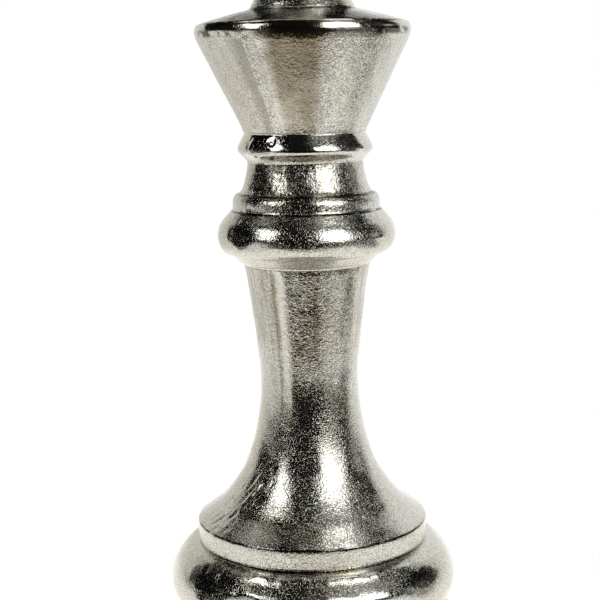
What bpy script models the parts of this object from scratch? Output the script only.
"""Giant chess king: hollow nickel-plated aluminium castings stacked on one steel tie rod.

Frame: metres, +Z up. The origin is on the turning axis, in the plane the rubber feet rest on.
The flat of the cross faces -Y and +Y, and its side arms run along X.
Sizes below are in millimetres; the helpers convert them to metres.
"""

import math

import bmesh
import bpy
from mathutils import Matrix, Vector

# ---------------------------------------------------------------- driving dimensions (millimetres)
MM = 0.001  # metres in a millimetre
TOTAL_HEIGHT = 635.0  # 25 inches, feet to the top of the cross
GAP = 0.3  # assembly gap between two parts
STEPS = 40  # facets round a casting
STEPS_SMALL = 24  # facets round hardware

# Base casting
PLINTH_R = 119.0
PLINTH_RIM_Z = 3.0
PLINTH_BORE_R = 111.5
TORUS_R = 113.0
TORUS_Z = 63.0
DECK_TOP_Z = 92.5  # joint between base and stem
DECK_UNDER_Z = 86.0
BOSS_R = 17.0  # boss under the deck, round the rod
BOSS_UNDER_Z = 76.0
DECK_RING_INNER_R = 77.5  # raised ring that enters the stem
DECK_RING_OUTER_R = 83.5
DECK_RING_H = 5.0
DECK_RING_SOCKET_R = 84.2

# Stem casting
BAND_R = 90.5
BAND_TOP_Z = 109.0
WAIST_R = 38.3
WAIST_Z = 222.5
STEM_TOP_R = 48.7
STEM_TOP_Z = 311.3  # joint between stem and collar

# Spigots on the stem and the collar
SPIGOT_R = 36.0
SPIGOT_SOCKET_R = 36.4
STEM_SPIGOT_H = 5.0
COLLAR_SPIGOT_H = 4.5
CROWN_SOCKET_H = COLLAR_SPIGOT_H + 0.2

# Collar, crown and cap
COLLAR_R = 68.7
BEAD_R = 51.9
COLLAR_TOP_Z = 413.0  # joint between collar and crown
CROWN_R = 82.0
CROWN_RIM_Z = 493.8
CROWN_FLOOR_Z = 426.0
REBATE_Z = 491.2  # ledge in the crown rim, under the cap
CAP_EDGE_R = 78.6
CAP_DOME_R = 42.7
CAP_DOME_WALL = 4.2
CAP_DOME_Z = 489.5  # centre of the dome
CAP_SEAT_Z = 530.0
CAP_SEAT_R = 15.0

# Tie rod, nuts and washers
ROD_R = 5.0  # M10 x 1.5
ROD_CLEAR_R = ROD_R + GAP  # bore of the nuts, washers and insert
ROD_HOLE_R = 5.6  # hole in the castings
ROD_BOTTOM_Z = 57.0
ROD_TOP_Z = 553.5
ROD_CHAMFER = 0.9
THREAD_PITCH = 1.5  # the finial rises this much a turn
NUT_FLATS = 16.0
NUT_H = 8.0
TOP_WASHER_R = 15.0
TOP_WASHER_T = 2.5
BOTTOM_WASHER_R = 18.0
BOTTOM_WASHER_T = 3.0
SPRING_WASHER_R = 9.0
SPRING_WASHER_T = 2.2
SEAT_WASHER_R = 14.0
SEAT_WASHER_T = 1.4

# Finial and its threaded insert
FINIAL_BASE_Z = 532.1
FINIAL_FOOT_TOP_Z = 564.0
INSERT_R = 7.2
INSERT_LENGTH = 14 * THREAD_PITCH
INSERT_LOW_Z = FINIAL_BASE_Z + 0.4
INSERT_POCKET_TOP_Z = INSERT_LOW_Z + INSERT_LENGTH + 1.2
CROSS_CENTRE_Z = 600.0
CROSS_HALF_SPAN = 33.0
CROSS_HALF_DEPTH = 8.0
CROSS_LOWER_REACH = 39.0  # centre to the end of the lower arm
CROSS_HUB_HALF = 7.4
CROSS_TIP_HALF = 14.5
CROSS_LOWER_TIP_HALF = 10.5
CROSS_BEVEL = 1.6

# Closing plate, feet and foot screws
FOOT_PITCH_R = 97.0  # circle the four feet stand on
FOOT_ANGLES = (45.0, 135.0, 225.0, 315.0)
FOOT_H = 8.0
FOOT_TOP_R = 12.5
FOOT_BOTTOM_R = 11.0
FOOT_POCKET_R = 5.6
FOOT_POCKET_Z = 4.5
PLATE_Z = 8.3
PLATE_T = 3.0
PLATE_TOP_Z = PLATE_Z + PLATE_T
PLATE_R = 109.5
PLATE_ACCESS_R = 11.0
CUT_OVERRUN = 2.0  # how far a through cutter passes each face
POST_R = 8.0
POST_TOP_Z = 27.5
TAP_R = 2.8
TAP_TOP_Z = 23.0
SCREW_HOLE_R = 2.9  # hole in the plate and the feet
FOOT_WASHER_R = 5.2
FOOT_WASHER_BORE_R = 2.8
FOOT_WASHER_T = 1.0
SCREW_R = 2.5
SCREW_TIP_R = 2.0
SCREW_TIP_Z = 21.0
SCREW_HEAD_R = 4.6
SCREW_HEAD_H = 2.3
SOCKET_CORNER_R = 1.75

# ---------------------------------------------------------------- scene and collections
for old in list(bpy.data.objects):
    bpy.data.objects.remove(old, do_unlink=True)

scene = bpy.context.scene
parts_collection = bpy.data.collections.new("giant_chess_king")
cutters_collection = bpy.data.collections.new("cutters")
scene.collection.children.link(parts_collection)
scene.collection.children.link(cutters_collection)


# ---------------------------------------------------------------- materials
def material(name, colour, roughness, metallic=1.0):
    made = bpy.data.materials.new(name)
    made.use_nodes = True
    shader = made.node_tree.nodes["Principled BSDF"]
    shader.inputs["Base Color"].default_value = (*colour, 1.0)
    shader.inputs["Roughness"].default_value = roughness
    shader.inputs["Metallic"].default_value = metallic


for plated_part in ("base", "stem", "collar", "finial"):
    material(f"nickel_plated_{plated_part}", colour=(0.66, 0.64, 0.60), roughness=0.22)
material("satin_nickel_crown", colour=(0.68, 0.65, 0.60), roughness=0.34)
material("satin_nickel_cap", colour=(0.68, 0.65, 0.60), roughness=0.30)
material("zinc_steel", colour=(0.62, 0.63, 0.65), roughness=0.35)
material("stainless", colour=(0.60, 0.60, 0.60), roughness=0.30)
material("brass", colour=(0.78, 0.60, 0.30), roughness=0.30)
material("nylon", colour=(0.85, 0.84, 0.80), roughness=0.50, metallic=0.0)
material("black_rubber", colour=(0.03, 0.03, 0.03), roughness=0.75, metallic=0.0)
material("sheet_aluminium", colour=(0.70, 0.71, 0.72), roughness=0.45)


# ---------------------------------------------------------------- helpers
def add_object(name, mesh, finish=None):
    """Link a mesh as a part with the material called finish, or as a hidden cutter without one."""
    obj = bpy.data.objects.new(name, mesh)
    if finish:
        parts_collection.objects.link(obj)
        mesh.materials.append(bpy.data.materials[finish])
    else:
        cutters_collection.objects.link(obj)
        obj.hide_render = True
        obj.display_type = "WIRE"
    return obj


def smooth(obj):
    obj.data.shade_smooth()
    obj.data.set_sharp_from_angle(angle=math.radians(30.0))


def turned(name, profile, finish=None, steps=STEPS, at=(0.0, 0.0)):
    """A (radius, height) profile, outer side running down, turned about Z.

    A profile that starts and ends on the axis stays open along it and gives a solid turning.
    """
    points = [(radius * MM, 0.0, height * MM) for radius, height in profile]
    edges = [(i, (i + 1) % len(points)) for i in range(len(points))]
    if profile[0][0] == 0.0 and profile[-1][0] == 0.0:
        edges.pop()
    mesh = bpy.data.meshes.new(name)
    mesh.from_pydata(points, edges, [])
    obj = add_object(name, mesh, finish)
    obj.location = (at[0] * MM, at[1] * MM, 0.0)
    screw = obj.modifiers.new("turn", "SCREW")
    screw.axis = "Z"
    screw.angle = 2 * math.pi
    screw.steps = steps
    screw.render_steps = steps
    screw.use_merge_vertices = True
    screw.merge_threshold = 0.00001
    screw.use_smooth_shade = True
    return obj


def ring(name, outer, bore, z_low, height, finish, at=(0.0, 0.0), steps=STEPS_SMALL):
    z_high = z_low + height
    profile = [(outer, z_high), (outer, z_low), (bore, z_low), (bore, z_high)]
    return turned(name, profile, finish, steps, at)


def cylinder(name, radius, z_low, z_high, at=(0.0, 0.0), sides=STEPS_SMALL, finish=None):
    """An upright cylinder with its origin at mid height."""
    mesh = bpy.data.meshes.new(name)
    work = bmesh.new()
    bmesh.ops.create_cone(
        work,
        cap_ends=True,
        segments=sides,
        radius1=radius * MM,
        radius2=radius * MM,
        depth=(z_high - z_low) * MM,
    )
    work.to_mesh(mesh)
    work.free()
    obj = add_object(name, mesh, finish)
    obj.location = (at[0] * MM, at[1] * MM, (z_low + z_high) / 2 * MM)
    return obj


def box_cutter(name, size, centre, rotation):
    mesh = bpy.data.meshes.new(name)
    work = bmesh.new()
    scale = Matrix.Diagonal((size[0] * MM, size[1] * MM, size[2] * MM, 1.0))
    bmesh.ops.create_cube(work, size=1.0, matrix=scale)
    work.to_mesh(mesh)
    work.free()
    obj = add_object(name, mesh)
    obj.location = Vector(centre) * MM
    obj.rotation_euler = rotation
    return obj


def combine(obj, tool, operation):
    boolean = obj.modifiers.new(operation.lower(), "BOOLEAN")
    boolean.operation = operation
    boolean.solver = "EXACT"
    boolean.object = tool


def on_circle(radius, degrees):
    return radius * math.cos(math.radians(degrees)), radius * math.sin(math.radians(degrees))


# (number, (x, y)) of each foot
FEET = [(i + 1, on_circle(FOOT_PITCH_R, angle)) for i, angle in enumerate(FOOT_ANGLES)]

# Every casting profile below is a list of (radius, height) points:
# the outside running down, then the inside running back up.

# ---------------------------------------------------------------- base casting
# Plinth and torus, open underneath.
TORUS_HALF = [(29.5, 92.5), (24.0, 100.8), (18.0, 107.0), (10.0, 111.6)]  # height off middle, radius
base_outer = (
    [(radius, TORUS_Z + rise) for rise, radius in TORUS_HALF]
    + [(TORUS_R, TORUS_Z)]
    + [(radius, TORUS_Z - drop) for drop, radius in reversed(TORUS_HALF[1:])]
    + [
        (96.0, 35.5), (104.0, 30.6), (111.0, 26.6), (116.4, 22.4),
        (PLINTH_R, 17.5), (PLINTH_R, 8.0), (117.8, 4.4), (115.0, PLINTH_RIM_Z),
    ]
)
base_inner = [
    (PLINTH_BORE_R, PLINTH_RIM_Z), (PLINTH_BORE_R, 15.5), (107.0, 20.5), (98.0, 25.5),
    (90.0, 29.5), (90.0, 38.0), (101.0, 46.0), (107.0, TORUS_Z), (101.5, 78.0),
    (90.0, DECK_UNDER_Z),
    (BOSS_R, DECK_UNDER_Z), (BOSS_R, BOSS_UNDER_Z),
    (ROD_HOLE_R, BOSS_UNDER_Z), (ROD_HOLE_R, DECK_TOP_Z),
    (DECK_RING_INNER_R, DECK_TOP_Z), (DECK_RING_INNER_R, DECK_TOP_Z + DECK_RING_H),
    (DECK_RING_OUTER_R, DECK_TOP_Z + DECK_RING_H), (DECK_RING_OUTER_R, DECK_TOP_Z),
]
base = turned("base_casting", base_outer + base_inner, "nickel_plated_base")

# Radial ribs under the deck, running out from the boss
RIB_COUNT = 6
RIB_SIZE = (78.0, 5.0, 10.0)  # length, thickness, height
RIB_CENTRE_R = 53.0
RIB_CENTRE_Z = 82.5
for i in range(RIB_COUNT):
    rib_angle = 360.0 / RIB_COUNT * i
    rib = box_cutter(
        f"cutter_rib_{i + 1}",
        RIB_SIZE,
        (*on_circle(RIB_CENTRE_R, rib_angle), RIB_CENTRE_Z),
        (0.0, 0.0, math.radians(rib_angle)),
    )
    combine(base, rib, "UNION")

# Posts above the closing plate, drilled for the foot screws
for number, place in FEET:
    post = cylinder(f"cutter_post_{number}", POST_R, PLATE_TOP_Z + GAP, POST_TOP_Z, place, 16)
    combine(base, post, "UNION")
for number, place in FEET:
    tap = cylinder(f"cutter_tap_{number}", TAP_R, PLATE_Z - 1.0, TAP_TOP_Z, place, 12)
    combine(base, tap, "DIFFERENCE")

# ---------------------------------------------------------------- stem casting
# Waisted column, flare and band.
stem_outer = [
    (STEM_TOP_R, STEM_TOP_Z),
    (46.3, 295.0), (43.1, 272.0), (39.9, 245.0), (WAIST_R, WAIST_Z), (39.5, 200.0),
    (42.9, 180.0), (48.0, 162.0), (55.2, 146.0), (62.6, 134.0), (70.0, 125.5),
    (76.9, 119.0), (82.8, 114.5), (87.6, 111.2),
    (90.1, BAND_TOP_Z + 0.5), (BAND_R, BAND_TOP_Z - 0.6), (BAND_R, 94.0),
    (89.6, DECK_TOP_Z + GAP),
]
stem_inner = [
    (DECK_RING_SOCKET_R, DECK_TOP_Z + GAP), (DECK_RING_SOCKET_R, 103.0),
    (74.0, 112.0), (62.0, 124.0), (49.0, 144.0), (40.0, 166.0), (34.5, 194.0),
    (32.3, WAIST_Z), (35.0, 258.0), (42.2, 302.0),
    (ROD_HOLE_R, 306.0), (ROD_HOLE_R, STEM_TOP_Z + STEM_SPIGOT_H),
    (SPIGOT_R, STEM_TOP_Z + STEM_SPIGOT_H), (SPIGOT_R, STEM_TOP_Z),
]
turned("stem_casting", stem_outer + stem_inner, "nickel_plated_stem")

# ---------------------------------------------------------------- collar casting
# Bead, neck, step and collar torus.
collar_outer = [
    (46.8, COLLAR_TOP_Z), (47.2, 410.6), (49.2, 407.0), (BEAD_R, 402.4), (51.7, 399.8),
    (47.6, 394.4), (44.5, 390.0), (46.0, 380.0), (48.4, 371.0), (50.2, 367.0),
    (55.2, 364.2), (56.2, 361.8), (57.0, 354.4), (59.8, 351.4), (64.6, 345.6),
    (68.0, 339.4), (COLLAR_R, 334.0), (68.0, 329.4), (65.6, 324.2), (62.8, 321.6),
    (57.0, 319.6), (51.6, 314.2), (48.9, STEM_TOP_Z + GAP),
]
collar_inner = [
    (SPIGOT_SOCKET_R, STEM_TOP_Z + GAP), (SPIGOT_SOCKET_R, 319.0),
    (55.5, 325.0), (62.0, 334.0), (57.5, 345.5), (50.5, 352.0), (50.5, 359.5),
    (41.5, 367.0), (38.6, 390.0), (44.0, 402.0), (34.0, 406.0),
    (ROD_HOLE_R, 406.0), (ROD_HOLE_R, COLLAR_TOP_Z + COLLAR_SPIGOT_H),
    (SPIGOT_R, COLLAR_TOP_Z + COLLAR_SPIGOT_H), (SPIGOT_R, COLLAR_TOP_Z),
]
turned("collar_casting", collar_outer + collar_inner, "nickel_plated_collar")

# ---------------------------------------------------------------- crown casting
# Flared cup with a rebated rim.
crown_base_z = COLLAR_TOP_Z + GAP
crown_outer = [
    (79.2, CROWN_RIM_Z), (81.0, 492.2), (CROWN_R, 489.6), (CROWN_R, 487.2), (80.9, 483.5),
    (77.0, 474.5), (50.3, 420.5), (48.1, 416.6), (46.9, crown_base_z),
]
crown_inner = [
    (SPIGOT_SOCKET_R, crown_base_z), (SPIGOT_SOCKET_R, crown_base_z + CROWN_SOCKET_H),
    (ROD_HOLE_R, crown_base_z + CROWN_SOCKET_H), (ROD_HOLE_R, CROWN_FLOOR_Z),
    (42.0, CROWN_FLOOR_Z), (49.0, 430.5), (71.5, 476.0), (73.6, REBATE_Z), (79.0, REBATE_Z),
]
turned("crown_casting", crown_outer + crown_inner, "satin_nickel_crown")


# ---------------------------------------------------------------- crown cap
# Low cone and dome, the lid of the crown.
def dome_points(radius, angles):
    """Points on an arc about the dome centre, at angles in degrees above the horizontal."""
    places = [on_circle(radius, angle) for angle in angles]
    return [(across, CAP_DOME_Z + rise) for across, rise in places]


cap_under_z = REBATE_Z + GAP
cap_outer = (
    [(CAP_SEAT_R, CAP_SEAT_Z)]
    + dome_points(CAP_DOME_R, (67.0, 57.0, 46.0, 34.0, 22.0))
    + [
        (41.2, 504.5), (60.0, 499.6), (CAP_EDGE_R - 0.5, 494.3), (CAP_EDGE_R, 493.6),
        (CAP_EDGE_R, cap_under_z),
    ]
)
cap_inner = (
    [(72.8, cap_under_z), (72.3, 487.5), (69.3, 487.5), (69.0, 492.0), (38.2, 500.2)]
    + dome_points(CAP_DOME_R - CAP_DOME_WALL, (24.0, 42.0, 58.0))
    + [(11.5, 522.5), (11.5, 518.0), (ROD_HOLE_R, 518.0), (ROD_HOLE_R, CAP_SEAT_Z)]
)
turned("crown_cap", cap_outer + cap_inner, "satin_nickel_cap")

# ---------------------------------------------------------------- finial
# Turned foot and flared cross in one casting, with a blind pocket for the insert.
finial_profile = [
    (0.0, FINIAL_FOOT_TOP_Z), (8.6, FINIAL_FOOT_TOP_Z), (8.8, 562.0), (10.6, 559.6),
    (14.0, 557.4), (15.0, 554.6), (14.0, 551.8), (10.8, 549.4), (9.8, 546.0),
    (11.0, 541.6), (15.0, 538.8), (16.5, 536.8), (16.5, 533.8), (15.4, FINIAL_BASE_Z),
    (INSERT_R + GAP, FINIAL_BASE_Z), (INSERT_R + GAP, INSERT_POCKET_TOP_Z),
    (0.0, INSERT_POCKET_TOP_Z),
]


def arm_flank(reach, tip_half):
    """(distance from centre, half-width) points from hub to tip, widening along a curve."""
    return [
        (
            CROSS_HUB_HALF + (reach - CROSS_HUB_HALF) * part,
            CROSS_HUB_HALF + (tip_half - CROSS_HUB_HALF) * part**1.8,
        )
        for part in (0.0, 0.35, 0.6, 0.8, 1.0)
    ]


def cross_outline():
    """Outline about the cross centre, clockwise from the right corner of the upper arm."""
    upper = arm_flank(TOTAL_HEIGHT - CROSS_CENTRE_Z, CROSS_TIP_HALF)
    side = arm_flank(CROSS_HALF_SPAN, CROSS_TIP_HALF)
    lower = arm_flank(CROSS_LOWER_REACH, CROSS_LOWER_TIP_HALF)
    right_half = [(half, along) for along, half in reversed(upper[1:])]
    right_half += side
    right_half += [(along, -half) for along, half in reversed(side[1:])]
    right_half += [(half, -along) for along, half in lower]
    return right_half + [(-x, y) for x, y in reversed(right_half)]


def cross_plate_mesh():
    """The outline filled and extruded through a curve; depth is along local Z."""
    curve = bpy.data.curves.new("cross_plate", "CURVE")
    curve.dimensions = "2D"
    curve.fill_mode = "BOTH"
    curve.extrude = CROSS_HALF_DEPTH * MM
    outline = cross_outline()
    spline = curve.splines.new("POLY")
    spline.points.add(len(outline) - 1)
    for point, (x, y) in zip(spline.points, outline):
        point.co = (x * MM, y * MM, 0.0, 1.0)
    spline.use_cyclic_u = True
    curve_object = bpy.data.objects.new("cross_curve", curve)
    cutters_collection.objects.link(curve_object)
    bpy.context.view_layer.update()
    depsgraph = bpy.context.evaluated_depsgraph_get()
    mesh = bpy.data.meshes.new_from_object(curve_object.evaluated_get(depsgraph))
    bpy.data.objects.remove(curve_object, do_unlink=True)
    return mesh


def is_face_rim(edge):
    """True for a sharp edge that lies flat in one of the two large faces."""
    first, second = edge.verts
    return (
        len(edge.link_faces) == 2
        and abs(first.co.z - second.co.z) < 1e-7
        and edge.calc_face_angle(0.0) > 1.0
    )


def add_cross():
    mesh = cross_plate_mesh()
    work = bmesh.new()
    work.from_mesh(mesh)
    # Weld the filled faces to the extruded wall before bevelling their shared edges.
    bmesh.ops.remove_doubles(work, verts=work.verts, dist=0.00001)
    bmesh.ops.recalc_face_normals(work, faces=work.faces)
    rim = [edge for edge in work.edges if is_face_rim(edge)]
    bmesh.ops.bevel(
        work, geom=rim, offset=CROSS_BEVEL * MM, segments=1, affect="EDGES", profile=0.5
    )
    work.to_mesh(mesh)
    work.free()
    cross = add_object("cutter_cross", mesh)
    cross.rotation_euler = (math.pi / 2, 0.0, 0.0)
    cross.location = (0.0, 0.0, CROSS_CENTRE_Z * MM)
    return cross


finial = turned("finial_cross", finial_profile, "nickel_plated_finial", steps=STEPS_SMALL)
combine(finial, add_cross(), "UNION")

# Threaded insert, fixed in the finial and running on the tie rod
ring("finial_threaded_insert", INSERT_R, ROD_CLEAR_R, INSERT_LOW_Z, INSERT_LENGTH, "brass")


# ---------------------------------------------------------------- tie rod, nuts and washers
def hex_nut(name, z_low):
    """Hexagon with both corner chamfers and a clear bore."""
    z_high = z_low + NUT_H
    corner = NUT_FLATS / 2 / math.cos(math.pi / 6)
    chamfer_inner = NUT_FLATS / 2 - 0.9
    chamfer_outer = corner + 0.6
    nut = cylinder(name, corner, z_low, z_high, sides=6, finish="zinc_steel")
    chamfer_profile = [
        (0.0, z_high + 0.5),
        (chamfer_inner, z_high + 0.5),
        (chamfer_outer, z_high - 1.5),
        (chamfer_outer, z_low + 1.5),
        (chamfer_inner, z_low - 0.5),
        (0.0, z_low - 0.5),
    ]
    chamfer = turned(f"cutter_{name}_chamfer", chamfer_profile, steps=STEPS_SMALL)
    combine(nut, chamfer, "INTERSECT")
    bore = cylinder(
        f"cutter_{name}_bore", ROD_CLEAR_R, z_low - CUT_OVERRUN, z_high + CUT_OVERRUN
    )
    combine(nut, bore, "DIFFERENCE")
    smooth(nut)


rod = cylinder("tie_rod", ROD_R, ROD_BOTTOM_Z, ROD_TOP_Z, finish="zinc_steel")
rod_bevel = rod.modifiers.new("end_chamfer", "BEVEL")
rod_bevel.width = ROD_CHAMFER * MM
rod_bevel.segments = 1
rod_bevel.limit_method = "ANGLE"
rod_bevel.angle_limit = math.radians(60)
rod_bevel.use_clamp_overlap = True
smooth(rod)

# Upper end, on the crown floor
top_washer_z = CROWN_FLOOR_Z + GAP
ring("crown_tie_washer", TOP_WASHER_R, ROD_CLEAR_R, top_washer_z, TOP_WASHER_T, "zinc_steel")
hex_nut("crown_tie_nut", top_washer_z + TOP_WASHER_T + GAP)

# Lower end, stacked down from the boss
load_washer_z = BOSS_UNDER_Z - GAP - BOTTOM_WASHER_T
ring(
    "base_load_washer", BOTTOM_WASHER_R, ROD_CLEAR_R, load_washer_z, BOTTOM_WASHER_T, "zinc_steel"
)
spring_z = load_washer_z - GAP - SPRING_WASHER_T
spring = ring(
    "base_spring_washer", SPRING_WASHER_R, ROD_CLEAR_R, spring_z, SPRING_WASHER_T, "zinc_steel"
)
split = box_cutter(
    "cutter_spring_split",
    size=(8.0, 1.2, 6.0),
    centre=(8.5, 0.0, spring_z + SPRING_WASHER_T / 2),
    rotation=(math.radians(35.0), 0.0, 0.0),
)
combine(spring, split, "DIFFERENCE")
hex_nut("base_tie_nut", spring_z - GAP - NUT_H)

# Seat washer under the finial; it turns with the finial and stays down on the cap
ring(
    "finial_seat_washer", SEAT_WASHER_R, ROD_CLEAR_R, CAP_SEAT_Z + GAP, SEAT_WASHER_T, "nylon"
)

# ---------------------------------------------------------------- closing plate
plate = cylinder(
    "base_cover_plate", PLATE_R, PLATE_Z, PLATE_TOP_Z, sides=STEPS, finish="sheet_aluminium"
)
plate_cut = (PLATE_Z - CUT_OVERRUN, PLATE_TOP_Z + CUT_OVERRUN)
for number, place in FEET:
    hole = cylinder(f"cutter_plate_hole_{number}", SCREW_HOLE_R, *plate_cut, place, 12)
    combine(plate, hole, "DIFFERENCE")
access = cylinder("cutter_plate_access", PLATE_ACCESS_R, *plate_cut)
combine(plate, access, "DIFFERENCE")
smooth(plate)

# ---------------------------------------------------------------- rubber feet and their screws
foot_profile = [
    (FOOT_TOP_R, FOOT_H),
    (FOOT_BOTTOM_R, 0.0),
    (FOOT_POCKET_R, 0.0),
    (FOOT_POCKET_R, FOOT_POCKET_Z),
    (SCREW_HOLE_R, FOOT_POCKET_Z),
    (SCREW_HOLE_R, FOOT_H),
]
foot_washer_z = FOOT_POCKET_Z - GAP - FOOT_WASHER_T
head_top_z = foot_washer_z - GAP
screw_profile = [
    (0.0, SCREW_TIP_Z),
    (SCREW_TIP_R, SCREW_TIP_Z),
    (SCREW_R, SCREW_TIP_Z - 0.5),
    (SCREW_R, head_top_z),
    (SCREW_HEAD_R, head_top_z),
    (4.3, head_top_z - 1.3),
    (3.0, head_top_z - SCREW_HEAD_H),
    (0.0, head_top_z - SCREW_HEAD_H),
]
for number, place in FEET:
    turned(f"rubber_foot_{number}", foot_profile, "black_rubber", steps=20, at=place)
    ring(
        f"foot_washer_{number}", FOOT_WASHER_R, FOOT_WASHER_BORE_R,
        foot_washer_z, FOOT_WASHER_T, "stainless", at=place, steps=16,
    )
    foot_screw = turned(f"foot_screw_{number}", screw_profile, "stainless", steps=16, at=place)
    socket = cylinder(
        f"cutter_socket_{number}", SOCKET_CORNER_R, head_top_z - 4.0, head_top_z - 0.7, place, 6
    )
    combine(foot_screw, socket, "DIFFERENCE")
